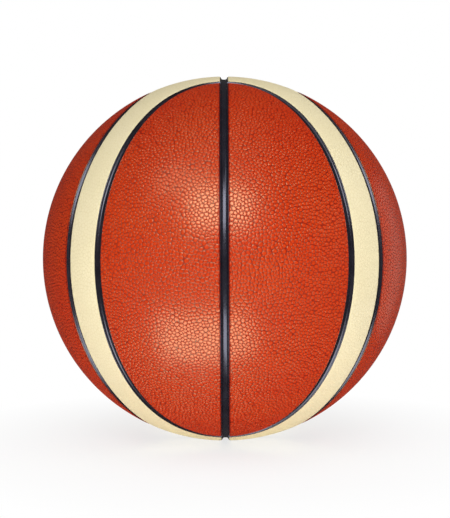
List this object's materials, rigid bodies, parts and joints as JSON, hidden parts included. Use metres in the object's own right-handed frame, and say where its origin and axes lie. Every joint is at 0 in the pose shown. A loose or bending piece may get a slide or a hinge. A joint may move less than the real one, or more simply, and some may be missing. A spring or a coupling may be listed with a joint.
{
  "type": "basketball",
  "caption": "Size 7 match basketball with orange and cream composite leather panels, black channels, a wound rubber core and a needle valve.",
  "frame": {"origin": "the ball's centre", "axes": "+Z through a pole where the two straight seams cross; an oval of panels is centred on each of -Y (front), +X, +Y and -X; the valve is in the back, 7 degrees from +Y towards +X"},
  "size_m": [0.243, 0.243, 0.2428],
  "materials": {
    "orange_leather": "pebbled composite leather, satin",
    "cream_leather": "finely grained composite leather, satin",
    "backing_cloth": "felted cloth",
    "black_rubber": "smooth, slightly glossy",
    "nylon_winding": "wound thread set in latex",
    "butyl_rubber": "matte",
    "valve_rubber": "matte moulded",
    "plug_rubber": "matte moulded"
  },
  "bodies": {
    "root": {"front_left_panel": "orange_leather", "front_right_panel": "orange_leather", "right_front_panel": "orange_leather", "right_back_panel": "orange_leather", "back_right_panel": "orange_leather", "back_left_panel": "orange_leather", "left_back_panel": "orange_leather", "left_front_panel": "orange_leather", "front_right_stripe": "cream_leather", "back_right_stripe": "cream_leather", "back_left_stripe": "cream_leather", "front_left_stripe": "cream_leather", "front_left_backing": "backing_cloth", "front_right_backing": "backing_cloth", "right_front_backing": "backing_cloth", "right_back_backing": "backing_cloth", "back_right_backing": "backing_cloth", "back_left_backing": "backing_cloth", "left_back_backing": "backing_cloth", "left_front_backing": "backing_cloth", "front_right_stripe_backing": "backing_cloth", "back_right_stripe_backing": "backing_cloth", "back_left_stripe_backing": "backing_cloth", "front_left_stripe_backing": "backing_cloth", "carcass": "black_rubber", "winding": "nylon_winding", "bladder": "butyl_rubber", "bladder_patch": "butyl_rubber", "valve_housing": "valve_rubber", "valve_plug": "plug_rubber"}
  },
  "joints": []
}
